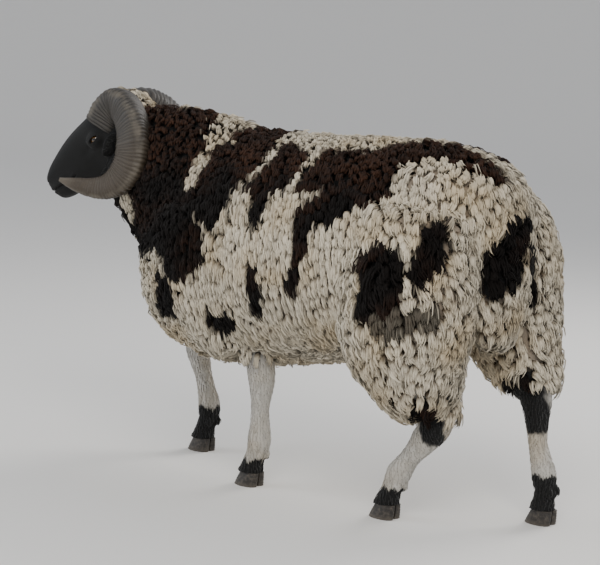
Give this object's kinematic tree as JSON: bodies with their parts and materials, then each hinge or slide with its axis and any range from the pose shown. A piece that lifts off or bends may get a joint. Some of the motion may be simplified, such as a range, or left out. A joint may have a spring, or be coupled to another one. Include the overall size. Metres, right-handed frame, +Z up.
{
  "type": "jacob sheep",
  "caption": "Still life-size ram in a walking stance, with a piebald curly fleece, a dark face with a white blaze, and ribbed horns coiled round the cheeks.",
  "frame": {"origin": "under the middle of the animal's overall box, on the ground that the hooves stand on", "axes": "-X towards the head, -Y the animal's left side, +Z up"},
  "size_m": [1.26, 0.508, 0.7986],
  "materials": {
    "fleece": "matt wool in hanging staples, cream with dark brown patches",
    "leg_hair": "short white hair with black at the feet",
    "face_hair": "short black hair with a white blaze",
    "eye": "wet and glossy, amber with a dark slot pupil",
    "horn": "ribbed grey-brown horn with a dull sheen",
    "hoof": "dark worn hoof"
  },
  "bodies": {
    "root": {"torso": "fleece", "neck": "fleece", "tail": "fleece", "hindleg_left": "fleece", "hindleg_right": "fleece", "foreleg_left": "leg_hair", "foreleg_right": "leg_hair", "head": "face_hair", "ear_left": "face_hair", "ear_right": "face_hair", "eye_left": "eye", "eye_right": "eye", "horn_left": "horn", "horn_right": "horn", "claw_fore_left_left": "hoof", "claw_fore_left_right": "hoof", "claw_fore_right_left": "hoof", "claw_fore_right_right": "hoof", "claw_hind_left_left": "hoof", "claw_hind_left_right": "hoof", "claw_hind_right_left": "hoof", "claw_hind_right_right": "hoof"}
  },
  "joints": []
}
